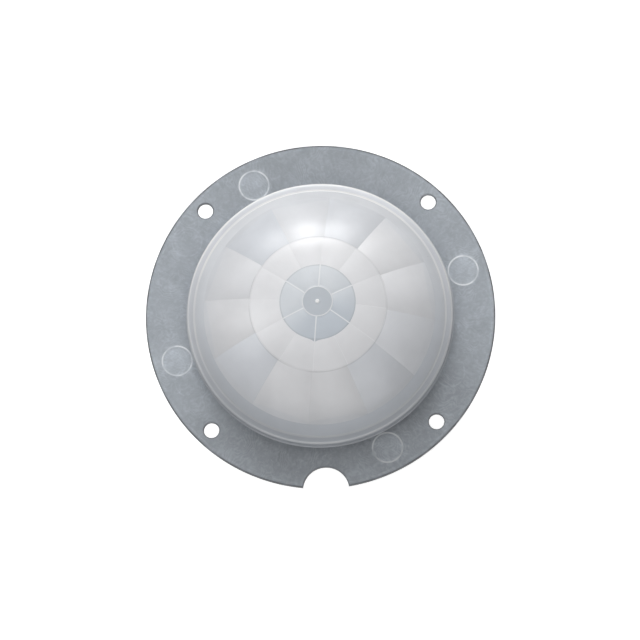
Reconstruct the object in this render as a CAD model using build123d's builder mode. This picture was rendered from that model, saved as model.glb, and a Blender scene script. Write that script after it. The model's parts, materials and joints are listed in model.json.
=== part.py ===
from build123d import *
import os
from math import asin, cos, degrees, radians, sin

# A flange-mount passive infrared motion sensor, in millimetres, +Z out of the dome.
# The origin is on the front face of the lens flange, which seats against the back of
# the panel, at the centre of the four panel screw holes. The locating notch is on -Y
# and the cable plug comes out on +Y. Each piece is its own solid in its own file.
os.makedirs("parts", exist_ok=True)

# --- Lens: one polyethylene moulding of flange, collar and dome ---------------------
FLANGE_R = 40.0
FLANGE_T = 1.2
COLLAR_R = 30.4
COLLAR_WALL = 1.1
COLLAR_H = 3.0
COLLAR_ROUND = 0.8
COLLAR_ROOT = 0.3
DOME_R = 37.7
DOME_H = 16.1
DOME_WALL = 0.8
DOME_ROOT = 0.35
GATE_R = 0.55
GATE_H = 0.25
PANEL_HOLE_R = 1.75
PANEL_PCD = 72.5
NOTCH_R = 5.25
NOTCH_Y = -40.4
BOSS_R = 3.4
BOSS_H = 3.0
BOSS_PITCH_R = 34.3
BOSS_START_ANGLES = (15.6, 114.6)  # each is one of a pair, half a turn apart
BOSS_PILOT_R = 0.95
BOSS_PILOT_DEPTH = 3.4

# --- Rear housing: a cup with a gasket shoulder and four screw ears ------------------
CUP_R = 29.0
CUP_WALL = 1.6
CUP_DEPTH = 27.2
CUP_FLOOR = 1.8
CUP_ROUND = 1.2
SPIGOT_TOP = 1.3
SHOULDER_R = 30.6
SHOULDER_T = 1.6
GASKET_T = 0.8
GASKET_IN_R = 29.15
GASKET_OUT_R = 30.5
EAR_R = 3.8
EAR_T = 2.0
EAR_HOLE_R = 1.3
EAR_REACH = 6.0
GUSSET_T = 1.4
POST_R = 2.6
POST_PITCH_R = 22.5
POST_START_ANGLE = 30.0
POST_PILOT_DEPTH = 5.0
SCREW_FIT = 0.02  # gap round a thread in its pilot hole

# --- Main board ------------------------------------------------------------------
BOARD_R = 26.8
BOARD_T = 1.6
BOARD_TOP = -17.6
BOARD_FLAT_Y = 25.2
BOARD_HOLE_R = 1.25
PILOT_R = 0.95

# --- Pyroelectric detector, on a can base like TO-5 ---------------------------------
SPACER_R = 4.9
SPACER_T = 1.0
DETECTOR_BASE_R = 4.6
DETECTOR_BASE_T = 0.5
CAN_R = 4.15
CAN_H = 3.9
CAN_WALL = 0.25
WINDOW_L = 5.2
WINDOW_W = 4.2
WINDOW_T = 0.45
LEAD_R = 0.23
LEAD_PITCH_R = 2.54
LEAD_TAIL = 1.2

# --- Pluggable connector: three poles, header on the board, plug on +Y -----------------
POLE_PITCH = 3.81
POLE_SPOTS = (-POLE_PITCH, 0.0, POLE_PITCH)
PIN_W = 0.9
PIN_Z = -13.7
PIN_BACK_Y = 14.0
PIN_TIP_Y = 23.0
PIN_HOLE_R = 0.8
HEADER_W = 12.6
HEADER_H = 7.8
HEADER_BACK_Y = 15.2
HEADER_FRONT_Y = 25.4
HEADER_BACK_WALL = 1.8
NOSE_W = 10.6
NOSE_H = 5.6
PLUG_FIT = 0.1
NOSE_TIP_Y = 17.4
PLUG_SHOULDER_Y = 25.5
PLUG_END_Y = 38.5
PLUG_W = 12.6
PLUG_TOP = -9.0
PLUG_BOTTOM = -18.8
CONTACT_W = 2.1
CONTACT_BORE = 1.3
CONTACT_FRONT_Y = 18.2
CONTACT_BACK_Y = 24.0
TONGUE_W = 1.8
TONGUE_T = 0.4
TONGUE_BOTTOM = -13.4
CLAMP_Y = 33.3
CLAMP_W = 3.0
CLAMP_L = 3.2
CLAMP_H = 4.4
CLAMP_BOTTOM = -15.2
CLAMP_SIDE = 0.4
CLAMP_NUT_T = 1.2
CLAMP_TOP_T = 0.6
CLAMP_TRAVEL = 1.2
CLAMP_SCREW_R = 1.0
CLAMP_HEAD_R = 1.5
CLAMP_HEAD_T = 1.2
SEAT_T = 0.8
WIRE_W = 2.2
WIRE_H = 1.8

# --- Settings that are reached from the rear: trimmers, switches and test button -----
TRIMMERS = {"time": -12.0, "sensitivity": 0.0, "light": 12.0}
TRIMMER_Y = -13.0
TRIMMER_W = 6.6
TRIMMER_H = 3.4
TRIMMER_WELL = 1.6
ROTOR_R = 2.3
ROTOR_TOP = -26.8
ROTOR_SLOT_W = 0.8
ROTOR_SLOT_L = 3.4
ROTOR_SLOT_DEPTH = 1.2
ROTOR_WINDOW_R = 2.8
DIP_X = -9.0
DIP_Y = 2.0
DIP_W = 8.6
DIP_L = 6.2
DIP_H = 6.4
DIP_PITCH = 2.54
DIP_CHANNEL_W = 1.5
DIP_CHANNEL_L = 3.1
DIP_CHANNEL_DEPTH = 2.4
SLIDER_W = 1.3
SLIDER_L = 1.7
SLIDER_NUB_L = 0.9
SLIDER_TRAVEL = 1.2
SLIDER_TOP = -26.5
BUTTON_X = 9.0
BUTTON_Y = 2.0
BUTTON_W = 6.0
BUTTON_H = 3.4
PLUNGER_R = 1.7
PLUNGER_WELL = 1.4
PLUNGER_TOP = -27.0
PLUNGER_TRAVEL = 0.5
RUN_FIT = 0.1

# --- Levels worked out from the sizes above ------------------------------------------
FLANGE_BACK = -FLANGE_T
DOME_CENTRE_Z = DOME_H - DOME_R
LEDGE_BACK = COLLAR_H - FLANGE_T
COLLAR_IN_R = COLLAR_R - COLLAR_WALL
BOSS_BACK = FLANGE_BACK - BOSS_H
EAR_BACK = BOSS_BACK - EAR_T
SHOULDER_TOP = FLANGE_BACK - GASKET_T
SHOULDER_BACK = SHOULDER_TOP - SHOULDER_T
CUP_BACK = -CUP_DEPTH
CUP_FLOOR_TOP = CUP_BACK + CUP_FLOOR
CUP_IN_R = CUP_R - CUP_WALL
BOARD_BACK = BOARD_TOP - BOARD_T
SPACER_TOP = BOARD_TOP + SPACER_T
DETECTOR_BASE_TOP = SPACER_TOP + DETECTOR_BASE_T
CAN_TOP = DETECTOR_BASE_TOP + CAN_H
HEADER_TOP = BOARD_TOP + HEADER_H
PLUG_MID_Z = (PLUG_TOP + PLUG_BOTTOM) / 2
CLAMP_HEAD_BACK = PLUG_BOTTOM + 0.1
CLAMP_SEAT_Z = CLAMP_HEAD_BACK + CLAMP_HEAD_T
CLAMP_CAVITY_Z = CLAMP_SEAT_Z + SEAT_T
CLAMP_CAVITY_TOP = CLAMP_BOTTOM + CLAMP_H + 0.4
CLAMP_CAVITY_END_Y = CLAMP_Y + CLAMP_L / 2 + PLUG_FIT
TONGUE_TOP = TONGUE_BOTTOM + TONGUE_T
WIRE_Z = TONGUE_TOP + WIRE_H / 2
TRIMMER_FACE = BOARD_BACK - TRIMMER_H
DIP_FACE = BOARD_BACK - DIP_H
BUTTON_FACE = BOARD_BACK - BUTTON_H


def ring_edges(piece, radius, height):
    """The circular edges of a piece that have this radius and lie at this height."""
    circles = piece.edges().filter_by(GeomType.CIRCLE)
    return [e for e in circles if abs(e.radius - radius) < 0.01 and abs(e.arc_center.Z - height) < 0.01]


def facing_y(y):
    """An upright plane at y that faces +Y, with its own y along +Z."""
    return Plane(origin=(0, y, 0), x_dir=(-1, 0, 0), z_dir=(0, 1, 0))


def component(x, y, z, length, width, height, edge_round, top_edge):
    """A moulded component body that stands on the front of the board at z."""
    with BuildPart() as body:
        with BuildSketch(Plane.XY.offset(z)):
            with Locations((x, y)):
                RectangleRounded(length, width, edge_round)
        extrude(amount=height)
        chamfer(body.faces().sort_by(Axis.Z)[-1].edges(), top_edge)
    return body


# --- Fresnel lens: the section of flange, collar and dome, turned about Z --------------
with BuildPart() as fresnel_lens:
    with BuildSketch(Plane.XZ):
        with BuildLine():
            outer_start = degrees(asin((COLLAR_H - DOME_CENTRE_Z) / DOME_R))
            inner_start = degrees(asin((LEDGE_BACK - DOME_CENTRE_Z) / (DOME_R - DOME_WALL)))
            outer = CenterArc((0, DOME_CENTRE_Z), DOME_R, outer_start, 90 - outer_start)
            inner = CenterArc((0, DOME_CENTRE_Z), DOME_R - DOME_WALL, inner_start, 90 - inner_start)
            Polyline(
                inner @ 0,
                (COLLAR_IN_R, LEDGE_BACK),
                (COLLAR_IN_R, FLANGE_BACK),
                (FLANGE_R, FLANGE_BACK),
                (FLANGE_R, 0),
                (COLLAR_R, 0),
                (COLLAR_R, COLLAR_H),
                outer @ 0,
            )
            Line(outer @ 1, inner @ 1)
        make_face()
    revolve(axis=Axis.Z)
    fillet(ring_edges(fresnel_lens, COLLAR_R, COLLAR_H), COLLAR_ROUND)
    fillet(ring_edges(fresnel_lens, COLLAR_R, 0), COLLAR_ROOT)
    fillet(ring_edges(fresnel_lens, DOME_R * cos(radians(outer_start)), COLLAR_H), DOME_ROOT)
    # Moulding gate at the apex
    with BuildSketch(Plane.XY.offset(DOME_H - DOME_WALL / 2)):
        Circle(GATE_R)
    extrude(amount=DOME_WALL / 2 + GATE_H)
    # Blind screw bosses on the back of the flange
    for start in BOSS_START_ANGLES:
        with BuildSketch(Plane.XY.offset(BOSS_BACK)):
            with PolarLocations(BOSS_PITCH_R, 2, start_angle=start):
                Circle(BOSS_R)
        extrude(amount=BOSS_H + FLANGE_T / 2)
        with BuildSketch(Plane.XY.offset(BOSS_BACK)):
            with PolarLocations(BOSS_PITCH_R, 2, start_angle=start):
                Circle(BOSS_PILOT_R)
        extrude(amount=BOSS_PILOT_DEPTH, mode=Mode.SUBTRACT)
    # Panel screw holes and the locating notch
    with BuildSketch(Plane.XY):
        with PolarLocations(PANEL_PCD / 2, 4, start_angle=45):
            Circle(PANEL_HOLE_R)
        with Locations((0, NOTCH_Y)):
            Circle(NOTCH_R)
    extrude(amount=FLANGE_T + 0.5, both=True, mode=Mode.SUBTRACT)
fresnel_lens.part.label = "fresnel_lens"
export_step(fresnel_lens.part, "parts/fresnel_lens.step")

# --- Gasket between the flange and the housing's shoulder ----------------------------
with BuildPart() as lens_gasket:
    with BuildSketch(Plane.XY.offset(SHOULDER_TOP)):
        Circle(GASKET_OUT_R)
        Circle(GASKET_IN_R, mode=Mode.SUBTRACT)
    extrude(amount=GASKET_T)
lens_gasket.part.label = "lens_gasket"
export_step(lens_gasket.part, "parts/lens_gasket.step")

# --- Rear housing ------------------------------------------------------------------
with BuildPart() as rear_housing:
    with BuildSketch(Plane.XY.offset(CUP_BACK)):
        Circle(CUP_R)
    extrude(amount=SPIGOT_TOP - CUP_BACK)
    fillet(ring_edges(rear_housing, CUP_R, CUP_BACK), CUP_ROUND)
    with BuildSketch(Plane.XY.offset(SHOULDER_BACK)):
        Circle(SHOULDER_R)
    extrude(amount=SHOULDER_T)
    for start in BOSS_START_ANGLES:
        # Two opposite ears, each on a gusset
        with BuildSketch(Plane.XY.offset(EAR_BACK)):
            with PolarLocations(BOSS_PITCH_R, 2, start_angle=start):
                Circle(EAR_R)
                Rectangle(EAR_REACH, 2 * EAR_R, align=(Align.MAX, Align.CENTER))
        extrude(amount=EAR_T)
        for turn in (start, start + 180):
            upright = Plane(origin=(0, 0, 0), x_dir=(cos(radians(turn)), sin(radians(turn)), 0),
                            z_dir=(sin(radians(turn)), -cos(radians(turn)), 0))
            with BuildSketch(upright):
                with BuildLine():
                    Polyline(
                        (CUP_R - 0.5, EAR_BACK),
                        (CUP_R + 2.9, EAR_BACK),
                        (CUP_R - 0.5, EAR_BACK - 5.0),
                        close=True,
                    )
                make_face()
            extrude(amount=GUSSET_T / 2, both=True)
        with BuildSketch(Plane.XY.offset(EAR_BACK)):
            with PolarLocations(BOSS_PITCH_R, 2, start_angle=start):
                Circle(EAR_HOLE_R)
        extrude(amount=EAR_T, mode=Mode.SUBTRACT)
    # The cup's hollow, with three posts for the board
    with BuildSketch(Plane.XY.offset(CUP_FLOOR_TOP)):
        Circle(CUP_IN_R)
    extrude(amount=SPIGOT_TOP - CUP_FLOOR_TOP, mode=Mode.SUBTRACT)
    with BuildSketch(Plane.XY.offset(CUP_FLOOR_TOP)):
        with PolarLocations(POST_PITCH_R, 3, start_angle=POST_START_ANGLE):
            Circle(POST_R)
    extrude(amount=BOARD_BACK - CUP_FLOOR_TOP)
    with BuildSketch(Plane.XY.offset(BOARD_BACK)):
        with PolarLocations(POST_PITCH_R, 3, start_angle=POST_START_ANGLE):
            Circle(PILOT_R)
    extrude(amount=-POST_PILOT_DEPTH, mode=Mode.SUBTRACT)
    # The plug's opening in the side, and the windows in the floor for the settings
    with BuildSketch(facing_y(CUP_IN_R - 5)):
        with Locations((0, PLUG_MID_Z)):
            Rectangle(PLUG_W + 0.8, PLUG_TOP - PLUG_BOTTOM + 0.8)
    extrude(amount=10, mode=Mode.SUBTRACT)
    with BuildSketch(Plane.XY.offset(CUP_BACK)):
        with Locations(*[(x, TRIMMER_Y) for x in TRIMMERS.values()]):
            Circle(ROTOR_WINDOW_R)
        with Locations((DIP_X, DIP_Y)):
            RectangleRounded(DIP_W + 0.8, DIP_L + 0.8, 0.5)
        with Locations((BUTTON_X, BUTTON_Y)):
            Circle(PLUNGER_R + 0.4)
    extrude(amount=CUP_FLOOR, mode=Mode.SUBTRACT)
    chamfer(ring_edges(rear_housing, ROTOR_WINDOW_R, CUP_BACK), 0.4)
    chamfer(ring_edges(rear_housing, PLUNGER_R + 0.4, CUP_BACK), 0.4)
rear_housing.part.label = "rear_housing"
export_step(rear_housing.part, "parts/rear_housing.step")

# --- Four self-tapping screws, from the rear through the ears into the lens bosses ------
with BuildPart() as housing_screws:
    for start in BOSS_START_ANGLES:
        with BuildSketch(Plane.XY.offset(EAR_BACK - 1.4)):
            with PolarLocations(BOSS_PITCH_R, 2, start_angle=start):
                Circle(2.0)
        extrude(amount=1.4)
        with BuildSketch(Plane.XY.offset(EAR_BACK)):
            with PolarLocations(BOSS_PITCH_R, 2, start_angle=start):
                Circle(BOSS_PILOT_R - SCREW_FIT)
        extrude(amount=EAR_T + BOSS_PILOT_DEPTH - 0.2)
    chamfer(ring_edges(housing_screws, 2.0, EAR_BACK - 1.4), 0.4)
    for start in BOSS_START_ANGLES:
        with BuildSketch(Plane.XY.offset(EAR_BACK - 1.4)):
            with PolarLocations(BOSS_PITCH_R, 2, start_angle=start):
                Rectangle(2.2, 0.5)
                Rectangle(0.5, 2.2)
        extrude(amount=0.8, mode=Mode.SUBTRACT)
housing_screws.part.label = "housing_screws"
export_step(housing_screws.part, "parts/housing_screws.step")

# --- Main board, with its flat behind the plug ------------------------------------------
with BuildPart() as main_board:
    with BuildSketch(Plane.XY.offset(BOARD_BACK)):
        Circle(BOARD_R)
        with Locations((0, BOARD_FLAT_Y)):
            Rectangle(2 * BOARD_R, 5, align=(Align.CENTER, Align.MIN), mode=Mode.SUBTRACT)
        with PolarLocations(POST_PITCH_R, 3, start_angle=POST_START_ANGLE):
            Circle(BOARD_HOLE_R, mode=Mode.SUBTRACT)
        with PolarLocations(LEAD_PITCH_R, 3, start_angle=0):
            Circle(LEAD_R + 0.15, mode=Mode.SUBTRACT)
        with Locations(*[(x, PIN_BACK_Y) for x in POLE_SPOTS]):
            Circle(PIN_HOLE_R, mode=Mode.SUBTRACT)
    extrude(amount=BOARD_T)
main_board.part.label = "main_board"
export_step(main_board.part, "parts/main_board.step")

with BuildPart() as board_screws:
    with BuildSketch(Plane.XY.offset(BOARD_TOP)):
        with PolarLocations(POST_PITCH_R, 3, start_angle=POST_START_ANGLE):
            Circle(1.9)
    extrude(amount=1.2)
    with BuildSketch(Plane.XY.offset(BOARD_BACK - POST_PILOT_DEPTH + 0.3)):
        with PolarLocations(POST_PITCH_R, 3, start_angle=POST_START_ANGLE):
            Circle(PILOT_R - SCREW_FIT)
    extrude(amount=BOARD_T + POST_PILOT_DEPTH - 0.3)
    chamfer(ring_edges(board_screws, 1.9, BOARD_TOP + 1.2), 0.35)
    with BuildSketch(Plane.XY.offset(BOARD_TOP + 1.2)):
        with PolarLocations(POST_PITCH_R, 3, start_angle=POST_START_ANGLE):
            Rectangle(2.0, 0.5)
            Rectangle(0.5, 2.0)
    extrude(amount=-0.7, mode=Mode.SUBTRACT)
board_screws.part.label = "board_screws"
export_step(board_screws.part, "parts/board_screws.step")

# --- Detector: spacer, base, leads, sensing element, can and infrared window ------------
with BuildPart() as detector_spacer:
    with BuildSketch(Plane.XY.offset(BOARD_TOP)):
        Circle(SPACER_R)
        with PolarLocations(LEAD_PITCH_R, 3, start_angle=0):
            Circle(LEAD_R + 0.1, mode=Mode.SUBTRACT)
    extrude(amount=SPACER_T)
detector_spacer.part.label = "detector_spacer"
export_step(detector_spacer.part, "parts/detector_spacer.step")

with BuildPart() as detector_base:
    with BuildSketch(Plane.XY.offset(SPACER_TOP)):
        Circle(DETECTOR_BASE_R)
        with Locations(Location((DETECTOR_BASE_R * cos(radians(45)), DETECTOR_BASE_R * sin(radians(45))), 45)):
            Rectangle(1.6, 0.9)
    extrude(amount=DETECTOR_BASE_T)
detector_base.part.label = "detector_base"
export_step(detector_base.part, "parts/detector_base.step")

with BuildPart() as detector_leads:
    with BuildSketch(Plane.XY.offset(BOARD_BACK - LEAD_TAIL)):
        with PolarLocations(LEAD_PITCH_R, 3, start_angle=0):
            Circle(LEAD_R)
    extrude(amount=SPACER_TOP - BOARD_BACK + LEAD_TAIL)
detector_leads.part.label = "detector_leads"
export_step(detector_leads.part, "parts/detector_leads.step")

with BuildPart() as detector_element:
    with BuildSketch(Plane.XY.offset(DETECTOR_BASE_TOP)):
        Rectangle(3.4, 3.0)
    extrude(amount=1.6)
    with BuildSketch(Plane.XY.offset(DETECTOR_BASE_TOP + 1.6)):
        with Locations((-0.9, 0), (0.9, 0)):
            Rectangle(1.0, 2.0)
    extrude(amount=0.2)
detector_element.part.label = "detector_element"
export_step(detector_element.part, "parts/detector_element.step")

with BuildPart() as detector_can:
    with BuildSketch(Plane.XY.offset(DETECTOR_BASE_TOP)):
        Circle(CAN_R)
    extrude(amount=CAN_H)
    fillet(ring_edges(detector_can, CAN_R, CAN_TOP), 0.4)
    with BuildSketch(Plane.XY.offset(DETECTOR_BASE_TOP)):
        Circle(CAN_R - CAN_WALL)
    extrude(amount=CAN_H - CAN_WALL, mode=Mode.SUBTRACT)
    with BuildSketch(Plane.XY.offset(CAN_TOP)):
        Rectangle(WINDOW_L, WINDOW_W)
    extrude(amount=-CAN_H / 2, mode=Mode.SUBTRACT)
detector_can.part.label = "detector_can"
export_step(detector_can.part, "parts/detector_can.step")

with BuildPart() as detector_window:
    with BuildSketch(Plane.XY.offset(CAN_TOP - WINDOW_T)):
        Rectangle(WINDOW_L, WINDOW_W)
    extrude(amount=WINDOW_T)
detector_window.part.label = "detector_window"
export_step(detector_window.part, "parts/detector_window.step")

# --- Electronics on the front of the board ---------------------------------------------
controller_ic = component(-3.0, -12.0, BOARD_TOP + 0.1, 9.9, 3.9, 1.5, 0.3, 0.2)
controller_ic.part.label = "controller_ic"
export_step(controller_ic.part, "parts/controller_ic.step")

voltage_regulator = component(7.0, -13.0, BOARD_TOP, 6.5, 6.1, 2.3, 0.35, 0.25)
voltage_regulator.part.label = "voltage_regulator"
export_step(voltage_regulator.part, "parts/voltage_regulator.step")

relay_base = component(-16.5, -2.0, BOARD_TOP, 10.2, 20.2, 1.2, 0.3, 0.1)
relay_base.part.label = "relay_base"
export_step(relay_base.part, "parts/relay_base.step")

relay_cover = component(-16.5, -2.0, BOARD_TOP + 1.2, 10.0, 20.0, 9.2, 0.6, 0.4)
relay_cover.part.label = "relay_cover"
export_step(relay_cover.part, "parts/relay_cover.step")

capacitor_base = component(15.5, -5.0, BOARD_TOP, 6.6, 6.6, 1.0, 0.8, 0.15)
capacitor_base.part.label = "capacitor_base"
export_step(capacitor_base.part, "parts/capacitor_base.step")

with BuildPart() as capacitor_can:
    with BuildSketch(Plane.XZ):
        with BuildLine():
            Polyline(
                (0, BOARD_TOP + 1.0),
                (3.1, BOARD_TOP + 1.0),
                (3.1, BOARD_TOP + 2.0),
                (2.8, BOARD_TOP + 2.3),
                (3.1, BOARD_TOP + 2.6),
                (3.1, BOARD_TOP + 7.5),
                (2.8, BOARD_TOP + 7.8),
                (0, BOARD_TOP + 7.8),
                close=True,
            )
        make_face()
    revolve(axis=Axis.Z)
capacitor_can = capacitor_can.part.moved(Location((15.5, -5.0, 0)))
capacitor_can.label = "capacitor_can"
export_step(capacitor_can, "parts/capacitor_can.step")

with BuildPart() as indicator_led:
    with BuildSketch(Plane.XY.offset(BOARD_TOP)):
        with Locations((9.0, 6.0)):
            Circle(1.9)
    extrude(amount=1.0)
    with BuildSketch(Plane.XY.offset(BOARD_TOP + 1.0)):
        with Locations((9.0, 6.0)):
            Circle(1.5)
    extrude(amount=3.6)
    fillet(ring_edges(indicator_led, 1.5, BOARD_TOP + 4.6), 1.4)
indicator_led.part.label = "indicator_led"
export_step(indicator_led.part, "parts/indicator_led.step")

with BuildPart() as light_sensor:
    with BuildSketch(Plane.XY.offset(BOARD_TOP)):
        with Locations((-7.0, 10.5)):
            Circle(2.5)
            with Locations((2.1, 0)):
                Rectangle(2, 6, align=(Align.MIN, Align.CENTER), mode=Mode.SUBTRACT)
    extrude(amount=2.4)
    chamfer(light_sensor.faces().sort_by(Axis.Z)[-1].edges(), 0.2)
light_sensor.part.label = "light_sensor"
export_step(light_sensor.part, "parts/light_sensor.step")

# --- Connector header and its pins ---------------------------------------------------
with BuildPart() as connector_header:
    with BuildSketch(facing_y(HEADER_BACK_Y)):
        with Locations((0, BOARD_TOP + HEADER_H / 2)):
            Rectangle(HEADER_W, HEADER_H)
    extrude(amount=HEADER_FRONT_Y - HEADER_BACK_Y)
    with BuildSketch(facing_y(HEADER_BACK_Y + HEADER_BACK_WALL)):
        with Locations((0, PIN_Z)):
            Rectangle(NOSE_W + 2 * PLUG_FIT, NOSE_H + 2 * PLUG_FIT)
    extrude(amount=HEADER_FRONT_Y - HEADER_BACK_Y, mode=Mode.SUBTRACT)
    with BuildSketch(facing_y(HEADER_BACK_Y)):
        with Locations(*[(x, PIN_Z) for x in POLE_SPOTS]):
            Rectangle(PIN_W, PIN_W)
    extrude(amount=HEADER_BACK_WALL, mode=Mode.SUBTRACT)
connector_header.part.label = "connector_header"
export_step(connector_header.part, "parts/connector_header.step")

with BuildPart() as header_pins:
    with BuildSketch(facing_y(PIN_BACK_Y - PIN_W / 2)):
        with Locations(*[(x, PIN_Z) for x in POLE_SPOTS]):
            Rectangle(PIN_W, PIN_W)
    extrude(amount=PIN_TIP_Y - PIN_BACK_Y + PIN_W / 2)
    chamfer(header_pins.faces().group_by(Axis.Y)[-1].edges(), 0.2)
    with BuildSketch(Plane.XY.offset(BOARD_BACK - LEAD_TAIL)):
        with Locations(*[(x, PIN_BACK_Y) for x in POLE_SPOTS]):
            Rectangle(PIN_W, PIN_W)
    extrude(amount=PIN_Z - BOARD_BACK + LEAD_TAIL)
header_pins.part.label = "header_pins"
export_step(header_pins.part, "parts/header_pins.step")

# --- Cable plug: body, three contacts, and a rising clamp and screw for each wire --------
with BuildPart() as plug_body:
    with BuildSketch(facing_y(NOSE_TIP_Y)):
        with Locations((0, PIN_Z)):
            Rectangle(NOSE_W, NOSE_H)
    extrude(amount=PLUG_SHOULDER_Y - NOSE_TIP_Y)
    with BuildSketch(facing_y(PLUG_SHOULDER_Y)):
        with Locations((0, PLUG_MID_Z)):
            Rectangle(PLUG_W, PLUG_TOP - PLUG_BOTTOM)
    extrude(amount=PLUG_END_Y - PLUG_SHOULDER_Y)
    chamfer(plug_body.faces().sort_by(Axis.Y)[-1].edges(), 0.4)
    # Channels for the contacts, from the nose to the clamps
    with BuildSketch(facing_y(NOSE_TIP_Y)):
        with Locations(*[(x, PIN_Z) for x in POLE_SPOTS]):
            Rectangle(CONTACT_W, CONTACT_W)
    extrude(amount=CLAMP_Y - NOSE_TIP_Y, mode=Mode.SUBTRACT)
    # Clamp cavities
    with BuildSketch(Plane.XY.offset(CLAMP_CAVITY_Z)):
        with Locations(*[(x, CLAMP_Y) for x in POLE_SPOTS]):
            Rectangle(CLAMP_W + 2 * PLUG_FIT, CLAMP_L + 2 * PLUG_FIT)
    extrude(amount=CLAMP_CAVITY_TOP - CLAMP_CAVITY_Z, mode=Mode.SUBTRACT)
    # Screw seats and screw wells
    with BuildSketch(Plane.XY.offset(CLAMP_SEAT_Z)):
        with Locations(*[(x, CLAMP_Y) for x in POLE_SPOTS]):
            Circle(CLAMP_SCREW_R + RUN_FIT)
    extrude(amount=SEAT_T, mode=Mode.SUBTRACT)
    with BuildSketch(Plane.XY.offset(CLAMP_SEAT_Z)):
        with Locations(*[(x, CLAMP_Y) for x in POLE_SPOTS]):
            Circle(CLAMP_HEAD_R + RUN_FIT)
    extrude(amount=PLUG_BOTTOM - CLAMP_SEAT_Z, mode=Mode.SUBTRACT)
    # Wire entries in the end face
    with BuildSketch(facing_y(CLAMP_Y)):
        with Locations(*[(x, WIRE_Z) for x in POLE_SPOTS]):
            Rectangle(WIRE_W, WIRE_H)
    extrude(amount=PLUG_END_Y - CLAMP_Y, mode=Mode.SUBTRACT)
plug_body.part.label = "plug_body"
export_step(plug_body.part, "parts/plug_body.step")

with BuildPart() as plug_contacts:
    with BuildSketch(facing_y(CONTACT_FRONT_Y)):
        with Locations(*[(x, PIN_Z) for x in POLE_SPOTS]):
            Rectangle(CONTACT_W, CONTACT_W)
            Rectangle(CONTACT_BORE, CONTACT_BORE, mode=Mode.SUBTRACT)
    extrude(amount=CONTACT_BACK_Y - CONTACT_FRONT_Y)
    with BuildSketch(facing_y(CONTACT_BACK_Y)):
        with Locations(*[(x, PIN_Z) for x in POLE_SPOTS]):
            Rectangle(CONTACT_W, CONTACT_W)
    extrude(amount=TONGUE_T)
    with BuildSketch(facing_y(CONTACT_BACK_Y)):
        with Locations(*[(x, (TONGUE_BOTTOM + TONGUE_TOP) / 2) for x in POLE_SPOTS]):
            Rectangle(TONGUE_W, TONGUE_T)
    extrude(amount=CLAMP_CAVITY_END_Y - PLUG_FIT - CONTACT_BACK_Y)
plug_contacts.part.label = "plug_contacts"
export_step(plug_contacts.part, "parts/plug_contacts.step")

for number, x in enumerate(POLE_SPOTS, start=1):
    with BuildPart() as clamp_screw:
        with BuildSketch(Plane.XY.offset(CLAMP_HEAD_BACK)):
            with Locations((x, CLAMP_Y)):
                Circle(CLAMP_HEAD_R)
        extrude(amount=CLAMP_HEAD_T)
        chamfer(ring_edges(clamp_screw, CLAMP_HEAD_R, CLAMP_HEAD_BACK), 0.15)
        with BuildSketch(Plane.XY.offset(CLAMP_HEAD_BACK)):
            with Locations((x, CLAMP_Y)):
                Rectangle(2 * CLAMP_HEAD_R, 0.5)
        extrude(amount=0.7, mode=Mode.SUBTRACT)
        with BuildSketch(Plane.XY.offset(CLAMP_SEAT_Z)):
            with Locations((x, CLAMP_Y)):
                Circle(CLAMP_SCREW_R)
        extrude(amount=TONGUE_BOTTOM - 0.05 - CLAMP_SEAT_Z)
    clamp_screw.part.label = f"clamp_screw_{number}"
    export_step(clamp_screw.part, f"parts/clamp_screw_{number}.step")

    with BuildPart() as wire_clamp:
        with BuildSketch(Plane.XY.offset(CLAMP_BOTTOM)):
            with Locations((x, CLAMP_Y)):
                Rectangle(CLAMP_W, CLAMP_L)
        extrude(amount=CLAMP_H)
        with BuildSketch(Plane.XY.offset(CLAMP_BOTTOM + CLAMP_NUT_T)):
            with Locations((x, CLAMP_Y)):
                Rectangle(CLAMP_W - 2 * CLAMP_SIDE, CLAMP_L)
        extrude(amount=CLAMP_H - CLAMP_NUT_T - CLAMP_TOP_T, mode=Mode.SUBTRACT)
        with BuildSketch(Plane.XY.offset(CLAMP_BOTTOM)):
            with Locations((x, CLAMP_Y)):
                Circle(CLAMP_SCREW_R + RUN_FIT)
        extrude(amount=CLAMP_NUT_T, mode=Mode.SUBTRACT)
    wire_clamp.part.label = f"wire_clamp_{number}"
    export_step(wire_clamp.part, f"parts/wire_clamp_{number}.step")

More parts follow.
